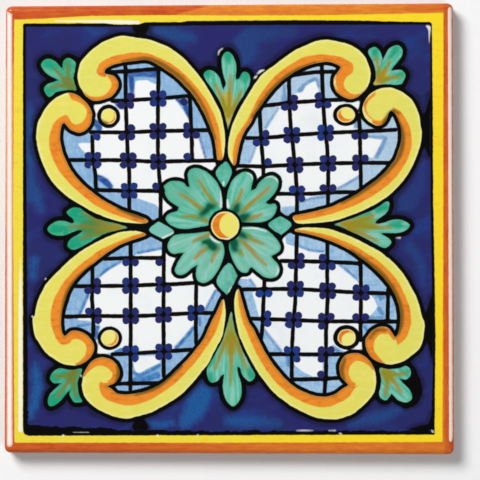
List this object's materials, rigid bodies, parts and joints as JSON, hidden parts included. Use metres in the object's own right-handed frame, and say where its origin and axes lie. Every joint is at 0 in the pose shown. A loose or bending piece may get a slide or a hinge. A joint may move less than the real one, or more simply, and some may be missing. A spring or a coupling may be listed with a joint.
{
  "type": "hand-painted ceramic tile",
  "caption": "Square glazed earthenware tile lying face up, with softly rounded upper edges, a flat back and a hand-painted scroll, trellis and rosette face.",
  "frame": {"origin": "centre of the flat back, on the surface the tile lies on", "axes": "+Z out of the glazed face; +X to the right and +Y up the painted face as the picture shows it"},
  "size_m": [0.2, 0.2, 0.01],
  "materials": {
    "painted_glaze": "glossy hand-painted tin glaze over terracotta"
  },
  "bodies": {
    "root": {"tile": "painted_glaze"}
  },
  "joints": []
}
